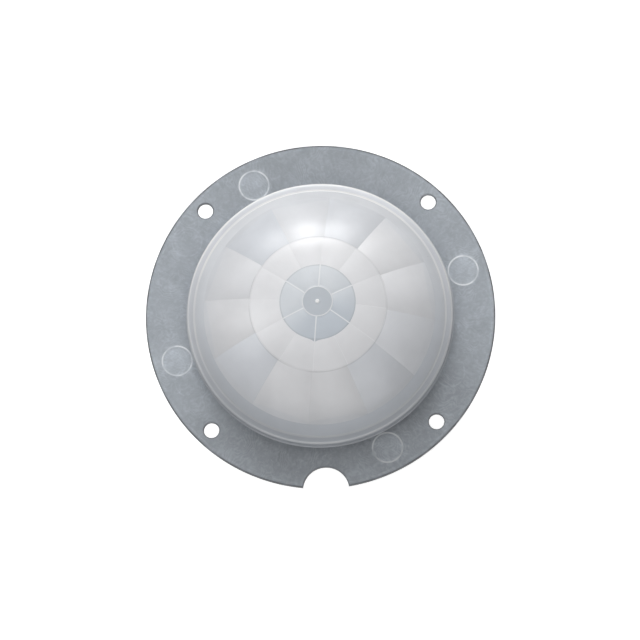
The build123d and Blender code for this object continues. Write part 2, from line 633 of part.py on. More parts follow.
# --- Trimmers for time, sensitivity and light level --------------------------------------
for name, x in TRIMMERS.items():
    with BuildPart() as trimmer_base:
        with BuildSketch(Plane.XY.offset(TRIMMER_FACE)):
            with Locations((x, TRIMMER_Y)):
                Rectangle(TRIMMER_W, TRIMMER_W)
        extrude(amount=TRIMMER_H)
        chamfer(trimmer_base.faces().sort_by(Axis.Z)[0].edges(), 0.3)
        with BuildSketch(Plane.XY.offset(TRIMMER_FACE)):
            with Locations((x, TRIMMER_Y)):
                Circle(ROTOR_R + RUN_FIT)
        extrude(amount=TRIMMER_WELL, mode=Mode.SUBTRACT)
    trimmer_base.part.label = f"{name}_trimmer_base"
    export_step(trimmer_base.part, f"parts/{name}_trimmer_base.step")

    with BuildPart() as trimmer_rotor:
        with BuildSketch(Plane.XY.offset(ROTOR_TOP)):
            with Locations((x, TRIMMER_Y)):
                Circle(ROTOR_R)
        extrude(amount=TRIMMER_FACE + TRIMMER_WELL - RUN_FIT - ROTOR_TOP)
        chamfer(ring_edges(trimmer_rotor, ROTOR_R, ROTOR_TOP), 0.3)
        with BuildSketch(Plane.XY.offset(ROTOR_TOP)):
            with Locations((x, TRIMMER_Y)):
                Rectangle(ROTOR_SLOT_W, ROTOR_SLOT_L)
                with Locations((0, ROTOR_SLOT_L / 2)):
                    RegularPolygon(ROTOR_SLOT_W, 3, rotation=90)
        extrude(amount=ROTOR_SLOT_DEPTH, mode=Mode.SUBTRACT)
    trimmer_rotor.part.label = f"{name}_trimmer_rotor"
    export_step(trimmer_rotor.part, f"parts/{name}_trimmer_rotor.step")

# --- Three-way slide switch block ---------------------------------------------------
with BuildPart() as switch_body:
    with BuildSketch(Plane.XY.offset(DIP_FACE)):
        with Locations((DIP_X, DIP_Y)):
            Rectangle(DIP_W, DIP_L)
    extrude(amount=DIP_H)
    chamfer(switch_body.faces().sort_by(Axis.Z)[0].edges(), 0.2)
    with BuildSketch(Plane.XY.offset(DIP_FACE)):
        with Locations((DIP_X, DIP_Y)):
            with GridLocations(DIP_PITCH, 1, 3, 1):
                Rectangle(DIP_CHANNEL_W, DIP_CHANNEL_L)
    extrude(amount=DIP_CHANNEL_DEPTH, mode=Mode.SUBTRACT)
switch_body.part.label = "switch_body"
export_step(switch_body.part, "parts/switch_body.step")

for number in (1, 2, 3):
    slider_x = DIP_X + (number - 2) * DIP_PITCH
    slider_y = DIP_Y - SLIDER_TRAVEL / 2
    with BuildPart() as switch_slider:
        with BuildSketch(Plane.XY.offset(DIP_FACE + 0.2)):
            with Locations((slider_x, slider_y)):
                Rectangle(SLIDER_W, SLIDER_L)
        extrude(amount=DIP_CHANNEL_DEPTH - 0.2 - RUN_FIT)
        with BuildSketch(Plane.XY.offset(SLIDER_TOP)):
            with Locations((slider_x, slider_y)):
                Rectangle(SLIDER_W, SLIDER_NUB_L)
        extrude(amount=DIP_FACE + 0.2 - SLIDER_TOP)
        chamfer(switch_slider.faces().sort_by(Axis.Z)[0].edges(), 0.15)
    switch_slider.part.label = f"switch_slider_{number}"
    export_step(switch_slider.part, f"parts/switch_slider_{number}.step")

# --- Test button ---------------------------------------------------------------------
with BuildPart() as button_base:
    with BuildSketch(Plane.XY.offset(BUTTON_FACE)):
        with Locations((BUTTON_X, BUTTON_Y)):
            Rectangle(BUTTON_W, BUTTON_W)
    extrude(amount=BUTTON_H)
    chamfer(button_base.faces().sort_by(Axis.Z)[0].edges(), 0.2)
    with BuildSketch(Plane.XY.offset(BUTTON_FACE)):
        with Locations((BUTTON_X, BUTTON_Y)):
            Circle(PLUNGER_R + RUN_FIT)
    extrude(amount=PLUNGER_WELL, mode=Mode.SUBTRACT)
button_base.part.label = "button_base"
export_step(button_base.part, "parts/button_base.step")

with BuildPart() as button_plunger:
    with BuildSketch(Plane.XY.offset(PLUNGER_TOP)):
        with Locations((BUTTON_X, BUTTON_Y)):
            Circle(PLUNGER_R)
    extrude(amount=BUTTON_FACE + PLUNGER_WELL - PLUNGER_TRAVEL - RUN_FIT - PLUNGER_TOP)
    fillet(ring_edges(button_plunger, PLUNGER_R, PLUNGER_TOP), 0.3)
button_plunger.part.label = "button_plunger"
export_step(button_plunger.part, "parts/button_plunger.step")
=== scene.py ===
import json
import math

import bmesh
import bpy
import numpy as np
from mathutils import Matrix, Vector, geometry


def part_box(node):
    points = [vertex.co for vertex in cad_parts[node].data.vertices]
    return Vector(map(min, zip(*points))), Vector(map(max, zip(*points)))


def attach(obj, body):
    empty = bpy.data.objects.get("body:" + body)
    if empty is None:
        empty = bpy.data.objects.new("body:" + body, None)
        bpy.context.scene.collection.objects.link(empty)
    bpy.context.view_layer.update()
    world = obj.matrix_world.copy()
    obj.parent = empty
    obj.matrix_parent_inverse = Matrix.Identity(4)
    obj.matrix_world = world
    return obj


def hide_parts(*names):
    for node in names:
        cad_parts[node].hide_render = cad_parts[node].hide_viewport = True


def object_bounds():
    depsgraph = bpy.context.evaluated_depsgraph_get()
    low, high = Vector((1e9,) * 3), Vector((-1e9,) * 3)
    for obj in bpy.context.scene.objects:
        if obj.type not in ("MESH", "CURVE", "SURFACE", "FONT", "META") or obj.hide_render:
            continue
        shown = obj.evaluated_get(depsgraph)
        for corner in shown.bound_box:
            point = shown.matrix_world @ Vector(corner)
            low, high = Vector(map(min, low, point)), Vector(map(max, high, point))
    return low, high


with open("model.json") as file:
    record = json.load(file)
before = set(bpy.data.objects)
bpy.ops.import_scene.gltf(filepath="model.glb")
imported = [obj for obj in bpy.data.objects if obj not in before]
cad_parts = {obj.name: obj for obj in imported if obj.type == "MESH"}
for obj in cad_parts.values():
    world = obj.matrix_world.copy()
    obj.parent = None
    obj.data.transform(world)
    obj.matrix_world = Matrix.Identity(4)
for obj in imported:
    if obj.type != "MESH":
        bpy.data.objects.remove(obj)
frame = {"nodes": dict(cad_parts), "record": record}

CAD_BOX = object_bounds()

# Sizes are in millimetres unless a name says otherwise, and MM turns them into metres.
MM = 0.001
mounts = {m["name"]: m for m in frame["record"]["mounts"]}
LENS_LOW, LENS_HIGH = (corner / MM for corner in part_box("fresnel_lens"))
CUP_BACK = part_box("rear_housing")[0].z / MM

FLANGE_R = LENS_HIGH.x
COLLAR_R = mounts["dome_collar"]["dims"]["r_mm"]
HOLE_R = mounts["panel_screws"]["dims"]["hole_r_mm"]
HOLE_PITCH_R = mounts["panel_screws"]["dims"]["pcd_mm"] / 2
FLANGE_T = 1.2
COLLAR_H = 3.0
COLLAR_WALL = 1.1
COLLAR_ROUND = 0.8
COLLAR_FOOT = 0.3
DOME_R = 37.7
DOME_H = 16.1
DOME_WALL = 0.8
DOME_ROOT = 0.35
DOME_CENTRE_Z = DOME_H - DOME_R
NOTCH_R = 5.25
NOTCH_Y = -40.4
BOSS_R = 3.4
BOSS_PITCH_R = 34.3
BOSS_ANGLES = (15.6, 114.6, 195.6, 294.6)
PILOT_R = 0.95
EDGE_BEVEL = 0.14
MARK_LINE_HALF = 0.18
MARK_LINE_H = 0.04

# The facets: where each ring of them ends, and the direction of one border between sectors
DISC_R = 3.22
INNER_R = 8.6
MIDDLE_R = 15.48
OUTER_R = 25.9
BORDER_ANGLE = 84.0
OUTER_BORDER_ANGLE = 83.0

# Directions in plan of the side that is furthest from the light, towards which the facets, the collar and the flange
# get painted shade
FACETS_FAR = 290
COLLAR_FAR = 275
FLANGE_FAR = 279

# Where the camera stands, in degrees round and up, how it is rolled, and how its picture is moved in mm
VIEW_AZIMUTH, VIEW_ELEVATION, VIEW_ROLL = 9.48, 78.07, -11.57
VIEW_DISTANCE = 1.0
VIEW_LENS = 246.0
VIEW_DOWN, VIEW_LEFT = 1.01, 0.07


# --- Camera, floor and light ---------------------------------------------------------
def look_axes(azimuth, elevation, roll):
    """The right, up and back directions of a camera that looks at the origin, angles in degrees."""
    az, el, turn = (math.radians(v) for v in (azimuth, elevation, roll))
    back = Vector((math.sin(az) * math.cos(el), -math.cos(az) * math.cos(el), math.sin(el)))
    side = (-back).cross(Vector((0, 0, 1))).normalized()
    up = side.cross(-back)
    right = side * math.cos(turn) + up * math.sin(turn)
    return right, up * math.cos(turn) - side * math.sin(turn), back


def make_camera():
    """Looks at the lens almost straight down, from a metre away."""
    right, up, back = look_axes(VIEW_AZIMUTH, VIEW_ELEVATION, VIEW_ROLL)
    data = bpy.data.cameras.new("camera")
    data.lens = VIEW_LENS
    data.sensor_width = 36.0
    data.clip_start = 0.01
    data.clip_end = 20.0
    camera = bpy.data.objects.new("camera", data)
    bpy.context.scene.collection.objects.link(camera)
    camera.matrix_world = Matrix((right, up, back)).transposed().to_4x4()
    camera.location = back * VIEW_DISTANCE - up * VIEW_DOWN * MM - right * VIEW_LEFT * MM
    bpy.context.scene.camera = camera


def make_card(name, azimuth, elevation, distance, width, height, strength, colour=(1, 1, 1), edge=0.5):
    """A glowing softbox in metres that faces the origin and fades towards its edges."""
    right, up, back = look_axes(azimuth, elevation, 0)
    mesh = bpy.data.meshes.new(name)
    half_w, half_h = width / 2, height / 2
    corners = [(-half_w, -half_h), (half_w, -half_h), (half_w, half_h), (-half_w, half_h)]
    mesh.from_pydata([back * distance + right * x + up * y for x, y in corners], [], [(0, 1, 2, 3)])
    uv = mesh.uv_layers.new(name="card")
    for loop, corner in zip(uv.data, ((0, 0), (1, 0), (1, 1), (0, 1))):
        loop.uv = corner
    card = bpy.data.objects.new(name, mesh)
    bpy.context.scene.collection.objects.link(card)
    card.visible_camera = False
    material = bpy.data.materials.new(name)
    material.use_nodes = True
    nodes, links = material.node_tree.nodes, material.node_tree.links
    nodes.clear()
    place = nodes.new("ShaderNodeTexCoord")
    split = nodes.new("ShaderNodeSeparateXYZ")
    links.new(place.outputs["UV"], split.inputs[0])
    fades = []
    for axis in ("X", "Y"):
        centred = nodes.new("ShaderNodeMath")
        centred.operation = "PINGPONG"
        centred.inputs[1].default_value = 0.5
        links.new(split.outputs[axis], centred.inputs[0])
        fade = nodes.new("ShaderNodeMapRange")
        fade.interpolation_type = "SMOOTHSTEP"
        fade.inputs["From Max"].default_value = max(edge / 2, 0.001)
        links.new(centred.outputs[0], fade.inputs["Value"])
        fades.append(fade.outputs[0])
    both = nodes.new("ShaderNodeMath")
    both.operation = "MULTIPLY"
    links.new(fades[0], both.inputs[0])
    links.new(fades[1], both.inputs[1])
    level = nodes.new("ShaderNodeMath")
    level.operation = "MULTIPLY"
    level.inputs[1].default_value = strength
    links.new(both.outputs[0], level.inputs[0])
    glow = nodes.new("ShaderNodeEmission")
    glow.inputs["Color"].default_value = (*colour, 1)
    links.new(level.outputs[0], glow.inputs["Strength"])
    clear = nodes.new("ShaderNodeBsdfTransparent")
    both_shaders = nodes.new("ShaderNodeAddShader")
    links.new(glow.outputs[0], both_shaders.inputs[0])
    links.new(clear.outputs[0], both_shaders.inputs[1])
    out = nodes.new("ShaderNodeOutputMaterial")
    links.new(both_shaders.outputs[0], out.inputs["Surface"])
    mesh.materials.append(material)


def make_floor():
    """A plain white table under the part, clear from below so that the part's underside can be looked at."""
    mesh = bpy.data.meshes.new("floor")
    half = 3.0
    z = CAD_BOX[0].z - 0.02 * MM
    mesh.from_pydata([(-half, -half, z), (half, -half, z), (half, half, z), (-half, half, z)], [], [(0, 1, 2, 3)])
    floor = bpy.data.objects.new("floor", mesh)
    bpy.context.scene.collection.objects.link(floor)
    material = bpy.data.materials.new("floor")
    material.use_nodes = True
    nodes, links = material.node_tree.nodes, material.node_tree.links
    shader = nodes["Principled BSDF"]
    shader.inputs["Base Color"].default_value = (0.9, 0.9, 0.9, 1)
    shader.inputs["Roughness"].default_value = 0.9
    shader.inputs["Emission Color"].default_value = (1, 1, 1, 1)
    shader.inputs["Emission Strength"].default_value = 0.55
    side = nodes.new("ShaderNodeNewGeometry")
    clear = nodes.new("ShaderNodeBsdfTransparent")
    choice = nodes.new("ShaderNodeMixShader")
    links.new(side.outputs["Backfacing"], choice.inputs[0])
    links.new(shader.outputs[0], choice.inputs[1])
    links.new(clear.outputs[0], choice.inputs[2])
    links.new(choice.outputs[0], nodes["Material Output"].inputs["Surface"])
    mesh.materials.append(material)
    floor.visible_diffuse = False
    floor.visible_glossy = False


def make_world(level):
    """Even light from all round."""
    world = bpy.data.worlds.new("studio")
    world.use_nodes = True
    world.node_tree.nodes["Background"].inputs["Color"].default_value = (1, 1, 1, 1)
    world.node_tree.nodes["Background"].inputs["Strength"].default_value = level
    bpy.context.scene.world = world


make_camera()
make_floor()
make_world(0.44)
make_card("key_bank", 184, 26, 1.0, 1.6, 0.5, 4.6, edge=0.9)
make_card("key_core", 184, 25, 1.0, 0.6, 0.5, 2.4, edge=0.8)
make_card("top_card", 180, 55, 1.0, 0.7, 0.6, 1.9, edge=0.9)
make_card("left_card", 270, 42, 1.0, 0.7, 0.8, 2.15, edge=0.9)
make_card("right_card", 90, 55, 1.0, 0.6, 0.5, 0.7, edge=0.9)
make_card("front_card", 4, 35, 1.0, 1.7, 0.62, 1.0, edge=0.08)
bpy.context.scene.view_settings.view_transform = "Standard"


# --- Materials ----------------------------------------------------------------------
class Finish:
    """One procedural material on the Principled shader, worked out from the place on the object in mm."""

    def __init__(self, name):
        self.material = bpy.data.materials.new(name)
        self.material.use_nodes = True
        self.tree = self.material.node_tree
        self.shader = self.tree.nodes["Principled BSDF"]
        place = self.tree.nodes.new("ShaderNodeTexCoord").outputs["Object"]
        self.place = self.vector("SCALE", place, scale=1 / MM)

    def put(self, socket, value):
        """Links a socket, or sets it where the value is a constant."""
        if isinstance(value, bpy.types.NodeSocket):
            self.tree.links.new(value, socket)
        elif isinstance(value, (tuple, list)) and len(value) == 3 and socket.type == "RGBA":
            socket.default_value = (*value, 1)
        else:
            socket.default_value = value

    def set(self, **values):
        """Sets or links the shader's inputs: base_color=..., roughness=... and so on."""
        for key, value in values.items():
            names = {s.name.lower().replace(" ", "_"): s for s in self.shader.inputs}
            self.put(names[key], value)
        return self

    def math(self, operation, a, b=0.0, c=0.0, clamp=False):
        node = self.tree.nodes.new("ShaderNodeMath")
        node.operation = operation
        node.use_clamp = clamp
        for socket, value in zip(node.inputs, (a, b, c)):
            self.put(socket, value)
        return node.outputs[0]

    def vector(self, operation, a, b=(0, 0, 0), scale=1.0):
        node = self.tree.nodes.new("ShaderNodeVectorMath")
        node.operation = operation
        self.put(node.inputs[0], a)
        if operation == "SCALE":
            self.put(node.inputs["Scale"], scale)
        else:
            self.put(node.inputs[1], b)
        return node.outputs["Value" if operation in ("LENGTH", "DISTANCE", "DOT_PRODUCT") else "Vector"]

    def axes(self):
        node = self.tree.nodes.new("ShaderNodeSeparateXYZ")
        self.put(node.inputs[0], self.place)
        return node.outputs

    def range(self, value, low, high, to_low=0.0, to_high=1.0, smooth=True):
        node = self.tree.nodes.new("ShaderNodeMapRange")
        node.interpolation_type = "SMOOTHSTEP" if smooth else "LINEAR"
        for key, number in (("Value", value), ("From Min", low), ("From Max", high),
                            ("To Min", to_low), ("To Max", to_high)):
            self.put(node.inputs[key], number)
        return node.outputs[0]

    def mix(self, factor, a, b):
        node = self.tree.nodes.new("ShaderNodeMix")
        node.data_type = "RGBA"
        for key, value in (("Factor_Float", factor), ("A_Color", a), ("B_Color", b)):
            self.put(next(s for s in node.inputs if s.identifier == key), value)
        return next(s for s in node.outputs if s.identifier == "Result_Color")

    def noise(self, per_mm, detail=2.0, roughness=0.5, distortion=0.0, place=None):
        """Noise from 0 to 1 with this many lumps to the millimetre."""
        node = self.tree.nodes.new("ShaderNodeTexNoise")
        self.put(node.inputs["Vector"], place or self.place)
        for key, value in (("Scale", per_mm), ("Detail", detail), ("Roughness", roughness),
                           ("Distortion", distortion)):
            self.put(node.inputs[key], value)
        return node.outputs["Fac"]

    def specks(self, per_mm, size_mm, share):
        """Tiny scattered spots: 1 on a spot and 0 off it. share is the part of the cells that has one."""
        node = self.tree.nodes.new("ShaderNodeTexVoronoi")
        self.put(node.inputs["Vector"], self.place)
        self.put(node.inputs["Scale"], per_mm)
        red = self.tree.nodes.new("ShaderNodeSeparateColor")
        self.put(red.inputs[0], node.outputs["Color"])
        spots = self.range(node.outputs["Distance"], size_mm * per_mm, size_mm * per_mm * 0.5)
        return self.math("MULTIPLY", spots, self.math("LESS_THAN", red.outputs[0], share))

    def bump(self, height_mm, strength=1.0, normal=None):
        """A normal from a height in millimetres."""
        node = self.tree.nodes.new("ShaderNodeBump")
        self.put(node.inputs["Strength"], strength)
        self.put(node.inputs["Distance"], MM)
        self.put(node.inputs["Height"], height_mm)
        if normal is not None:
            self.put(node.inputs["Normal"], normal)
        return node.outputs[0]

    def polar(self):
        """Distance from the lens's axis in mm, and angle about it in radians."""
        x, y, z = self.axes()
        return self.math("SQRT", self.math("ADD", self.math("MULTIPLY", x, x), self.math("MULTIPLY", y, y))), \
            self.math("ARCTAN2", y, x)


def shade(colour, factor):
    """A colour made lighter or darker."""
    return tuple(min(1.0, c * factor) for c in colour)


POLYETHYLENE = (0.842, 0.847, 0.870)
POLYETHYLENE_COOL = (0.405, 0.44, 0.48)
COOLER = (0.955, 0.985, 1.02)
MARGIN_TINT = (0.925, 0.945, 0.965)
# Painted light and shade of the outer ring's facets, as brightness and coolness, against the sun's way round from the
# top
FACET_PAINTED_LIGHT = ((1.05, 0.4), (0.96, 1.0), (0.96, 0.2), (0.93, 0.0), (0.93, 0.9), (1.01, 0.0),
               (0.97, 0.0), (0.94, 0.8), (0.99, 0.5), (1.03, 0.1), (1.05, 0.0), (1.0, 0.7))


def polyethylene(name, colour, roughness=0.42, coat=0.7, coat_roughness=0.17, scatter=0.3):
    """Translucent polyethylene: faint clouds in its colour, and a fine matte grain under a smooth skin."""
    m = Finish(name)
    clouds = m.noise(0.11, 3.0, 0.55)
    m.cloudy = m.mix(m.range(clouds, 0.3, 0.7), shade(colour, 0.965), shade(colour, 1.03))
    m.cloudy = m.mix(m.math("MULTIPLY", m.specks(0.24, 0.2, 0.2), 0.45), m.cloudy, shade(colour, 0.3))
    m.grain = m.math("MULTIPLY", m.noise(1.6, 2.0), 0.02)
    m.set(
        base_color=m.cloudy,
        roughness=m.range(m.noise(0.5, 3.0), 0.2, 0.8, roughness - 0.05, roughness + 0.07),
        ior=1.54,
        coat_weight=coat,
        coat_roughness=coat_roughness,
        coat_ior=1.54,
        subsurface_weight=scatter,
        subsurface_radius=(1.0, 1.0, 1.0),
        subsurface_scale=1.6 * MM,
        normal=m.bump(m.grain, 0.35),
    )
    return m


def facet_finish(name, colour, sectors, inside, outside, swell, rib=0.0, rib_colour=None, border=BORDER_ANGLE,
                 tones=None, dark_end=1.0, fade_from=0.03, cool_far=False):
    """A ring of lens facets: each swells in its middle, and a thin rib may part it from the next.

    tones has each facet's painted light and shade, as brightness and coolness counted from the border, standing in
    for how each turns the light. dark_end is how dark the last tenths of a millimetre of every facet get. fade_from
    is how much painted shade darkens the far side where the first facets start. cool_far makes that painted shade
    cooler too.
    """
    m = polyethylene(name, colour)
    radius, angle = m.polar()
    half = math.pi / sectors
    turned = m.math("SUBTRACT", angle, math.radians(border))
    from_border = m.math("PINGPONG", turned, half)
    across = m.math("SUBTRACT", 1.0, m.math("DIVIDE", from_border, half))
    middle, reach = (inside + outside) / 2, (outside - inside) / 2
    along = m.math("DIVIDE", m.math("SUBTRACT", radius, middle), reach)
    pillow = m.math("SUBTRACT", 1.0, m.math("MULTIPLY", across, across))
    dish = m.math("MULTIPLY", m.math("MULTIPLY", along, along), -0.5)
    height = m.math("MULTIPLY", m.math("ADD", pillow, dish), swell)
    height = m.math("ADD", height, m.grain)
    # Painted shade on the side furthest from the light, stronger further out, and cooler there if cool_far
    far = far_side(m, FACETS_FAR, -0.3, 1.0)
    fade = m.math("MULTIPLY", m.range(radius, INNER_R, OUTER_R, fade_from, 0.27, smooth=False), far)
    end_shade = m.range(radius, outside - 0.4, outside - 0.05, 1.0, dark_end)
    kept = m.math("MULTIPLY", m.math("SUBTRACT", 1.0, fade), end_shade)
    toned = m.mix(far, m.cloudy, m.vector("MULTIPLY", m.cloudy, COOLER)) if cool_far else m.cloudy
    if tones:
        # Each facet's painted light and shade: a brightness and a coolness
        index = m.math("FLOOR", m.math("DIVIDE", m.math("WRAP", turned, 2 * math.pi, 0.0), 2 * half))
        bright, cool = 0.0, 0.0
        for i, (tone, coolness) in enumerate(tones):
            here = m.math("COMPARE", index, float(i), 0.5)
            bright = m.math("MULTIPLY_ADD", here, tone, bright)
            cool = m.math("MULTIPLY_ADD", here, coolness, cool)
        # The outer ends of the facets are straight, and fade into the plain margin
        end = m.math("DIVIDE", outside * math.cos(half), m.math("COSINE", m.math("SUBTRACT", half, from_border)))
        gone = m.range(m.math("SUBTRACT", radius, end), -0.5, 0.35, 0.0, 0.85)
        gone = m.math("MAXIMUM", gone, m.range(radius, outside - 5.0, outside, 0.0, 0.35))
        toned = m.mix(cool, toned, m.vector("MULTIPLY", toned, COOLER))
        toned = m.mix(gone, toned, m.vector("MULTIPLY", m.cloudy, MARGIN_TINT))
        # A fine step parts them from the ring inside, and a broken line of painted shade marks it in places
        step = m.range(m.math("ABSOLUTE", m.math("SUBTRACT", radius, inside + 0.14)), 0.17, 0.05)
        step = m.math("MULTIPLY", step, m.range(m.noise(0.14, 2.0), 0.36, 0.6, 0.15, 1.0))
        kept = m.math("MULTIPLY", kept, m.math("SUBTRACT", 1.0, m.math("MULTIPLY", step, 0.16)))
        kept = m.math("MULTIPLY", kept, bright)
    toned = m.vector("SCALE", toned, scale=kept)
    if rib:
        gap = m.math("MULTIPLY", radius, from_border)
        toned = m.mix(m.range(gap, rib, 0.02), toned, rib_colour)
    m.set(base_color=toned, normal=m.bump(height, 1.0))
    return m


def far_side(m, turned, low, high):
    """0 on the side of the lens that faces the light and 1 in the direction turned, away from it.

    It masks the painted shade on that side. low and high are the cosines, from that direction, between which it
    rises.
    """
    x, y, _ = m.axes()
    radius, _ = m.polar()
    towards = m.math("ADD", m.math("MULTIPLY", x, math.cos(math.radians(turned))),
                     m.math("MULTIPLY", y, math.sin(math.radians(turned))))
    return m.range(m.math("DIVIDE", towards, m.math("MAXIMUM", radius, 1.0)), low, high)


def graded_finish(name, colour, depth, outer=1.0, sides=0.0, **options):
    """Polyethylene with painted shade: darker on its far side from the light, down to the factor depth, and towards
    its outer edge.

    It is cooler on the far side too. sides is how much more painted shade it gets halfway round, where the lens turns
    away from the light.
    """
    m = polyethylene(name, colour, **options)
    far = far_side(m, COLLAR_FAR, -0.9, 1.0)
    radius, angle = m.polar()
    outward = m.range(radius, OUTER_R, DISC_R + OUTER_R, 1.0, outer, smooth=False)
    factor = m.math("MULTIPLY", m.range(far, 0.0, 1.0, 1.0, depth, smooth=False), outward)
    sideways = m.math("MULTIPLY", m.math("POWER", m.math("COSINE", angle), 2.0), sides)
    factor = m.math("MULTIPLY", factor, m.math("SUBTRACT", 1.0, sideways))
    toned = m.mix(far, m.cloudy, m.vector("MULTIPLY", m.cloudy, COOLER))
    m.set(base_color=m.vector("SCALE", toned, scale=factor))
    return m


GHOST_MARKS = ((-30.2, -14.3), (-30.1, 18.5), (29.1, -14.3))


def flow_lines(m, radius, angle):
    """The lines and swirls that the melt left as it fanned out from the gate, from dark 0 to light 1."""
    combine = m.tree.nodes.new("ShaderNodeCombineXYZ")
    for key, value in (("X", m.math("MULTIPLY", angle, 35.0)), ("Y", m.math("MULTIPLY", radius, 0.45)),
                       ("Z", m.axes()[2])):
        m.put(combine.inputs[key], value)
    wander = m.noise(0.16, 2.0, 0.5)
    phase = m.math("ADD", m.math("MULTIPLY", angle, 35.0 * 2 * math.pi / 0.95), m.math("MULTIPLY", wander, 85.0))
    lines = m.math("POWER", m.math("ADD", m.math("MULTIPLY", m.math("SINE", phase), 0.5), 0.5), 2.0)
    swirl = m.math("MULTIPLY", lines, m.range(m.noise(0.2, 2.0), 0.44, 0.62))
    curls = m.range(m.noise(0.6, 4.0, 0.62, 1.6), 0.42, 0.68)
    streak = m.range(m.noise(1.5, 3.0, 0.65, 0.5, place=combine.outputs[0]), 0.3, 0.75)
    clouds = m.range(m.noise(0.13, 3.0, 0.6, 0.4), 0.3, 0.7)
    light = 0.0
    for share, part in ((0.22, swirl), (0.16, clouds), (0.16, streak), (0.22, curls)):
        light = m.math("MULTIPLY_ADD", part, share, light)
    return light


def from_circle(m, x, y, radius):
    """How far a place is outside a circle on the flange's face, in mm."""
    return m.math("SUBTRACT", m.vector("DISTANCE", m.place, (x, y, 0.0)), radius)


def marks_and_painted_glow(m, broken):
    """What the faint ejector marks, and the screw bosses' marks with their painted glow and painted light, add to the
    lightness of the flange.
    """
    x, y, _ = m.axes()
    light = 0.0
    for ghost_x, ghost_y in GHOST_MARKS:
        gap = m.math("ABSOLUTE", from_circle(m, ghost_x, ghost_y, BOSS_R))
        light = m.math("MULTIPLY_ADD", m.range(gap, 0.28, 0.04, 0.0, 0.26), broken, light)
    slant = m.math("MULTIPLY_ADD", x, 5.0, m.math("MULTIPLY", y, 9.5))
    hatch = m.math("SINE", m.math("MULTIPLY_ADD", m.noise(0.5, 2.0), 12.0, slant))
    hatch = m.range(hatch, 0.2, 1.0, 0.0, 0.09)
    for boss_angle in BOSS_ANGLES:
        # A soft painted glow just inside and outside the mark's line, and a haze of painted light within it that is
        # stronger towards +Y, where the light comes from
        boss_x, boss_y = spot(BOSS_PITCH_R, boss_angle)
        gap = from_circle(m, boss_x, boss_y, BOSS_R)
        light = m.math("MULTIPLY_ADD", m.range(m.math("ABSOLUTE", gap), 0.8, 0.0, 0.0, 0.3), broken, light)
        rise = m.range(y, boss_y - BOSS_R, boss_y + BOSS_R, 0.1, 1.0)
        light = m.math("MULTIPLY_ADD", m.range(gap, 0.0, -0.9, 0.0, 0.34), rise, light)
        light = m.math("MULTIPLY_ADD", hatch, m.range(gap, 0.0, -0.6), light)
    return light


def cut_edge_shade(m, radius):
    """1 on the fine dark line of painted shade that every cut edge of the flange shows, broken here and there."""
    edge = m.range(radius, FLANGE_R - 0.42, FLANGE_R - 0.2)
    for (x, y), edge_r in [(hole, HOLE_R) for hole in HOLE_SPOTS] + [((0.0, NOTCH_Y), NOTCH_R)]:
        edge = m.math("MAXIMUM", edge, m.range(from_circle(m, x, y, edge_r), 0.34, 0.14, 0.0, 0.8))
    return m.math("MULTIPLY", edge, m.range(m.noise(0.25, 2.0), 0.3, 0.6, 0.5, 1.0))


def flange_finish(name="lens_flange", lighter=1.0):
    """The flange is thin and clear, so greyer, with painted shadow of the dome that is darkest at the notch's side of
    the collar.
    """
    colour = shade(POLYETHYLENE_COOL, lighter)
    m = polyethylene(name, colour, roughness=0.46, coat=0.4, coat_roughness=0.3)
    radius, angle = m.polar()
    # Painted shadow of the dome: strongest on the side furthest from the light and next to the collar, weaker
    # outwards
    near = m.range(radius, 30.5, 41.0, 1.0, 0.55, smooth=False)
    depth = m.math("MULTIPLY", far_side(m, FLANGE_FAR, 0.08, 0.98), near)
    broken = m.range(m.noise(0.5, 2.0, 0.6), 0.38, 0.62)
    light = m.math("ADD", flow_lines(m, radius, angle), marks_and_painted_glow(m, broken))
    scuff = m.range(m.noise(2.4, 2.0, 0.5), 0.7, 0.78, 0.0, 0.3)
    light = m.math("ADD", light, scuff)
    ripple = m.range(m.math("ABSOLUTE", m.math("SUBTRACT", radius, FLANGE_R - 0.8)), 0.22, 0.05, 0.0, 0.22)
    light = m.math("ADD", light, m.math("MULTIPLY", ripple, broken), clamp=True)
    # Painted shade: the flange is a little darker on the side opposite its notch
    opposite_shade = m.range(m.math("SINE", angle), 0.72, 1.0, 1.0, 0.90)
    toned = m.mix(light, shade(colour, 0.84), shade(colour, 1.42))
    # The painted shadow of the dome darkens the flange there
    toned = m.mix(depth, toned, m.mix(light, shade(colour, 0.38), shade(colour, 0.78)))
    toned = m.vector("SCALE", toned, scale=opposite_shade)
    m.set(
        base_color=m.mix(cut_edge_shade(m, radius), toned, shade(colour, 0.26)),
        roughness=m.range(light, 0.0, 1.0, 0.42, 0.55),
        normal=m.bump(m.math("ADD", m.math("MULTIPLY", light, 0.03), m.grain), 0.8),
    )
    return m


def mark_line_finish():
    """The fine raised line round a mark has a painted highlight, broken unevenly, and painted shade on the far side
    from the light.
    """
    m = polyethylene("lens_mark_line", POLYETHYLENE_COOL, coat_roughness=0.25)
    broken = m.range(m.noise(0.3, 2.0, 0.6), 0.34, 0.62, 0.35, 1.0)
    # Painted highlight along the line, broken here and there
    line = m.mix(broken, shade(POLYETHYLENE_COOL, 1.1), (0.80, 0.83, 0.86))
    # Painted shade on the far side from the light
    far = far_side(m, FLANGE_FAR, 0.08, 0.98)
    m.set(base_color=m.vector("SCALE", line, scale=m.range(far, 0.0, 1.0, 1.0, 0.55)))
    return m


LENS_ZONES = ("gate", "disc", "line", "inner", "middle", "outer", "margin", "collar", "collar_line", "flange", "mark",
              "mark_line", "inside")


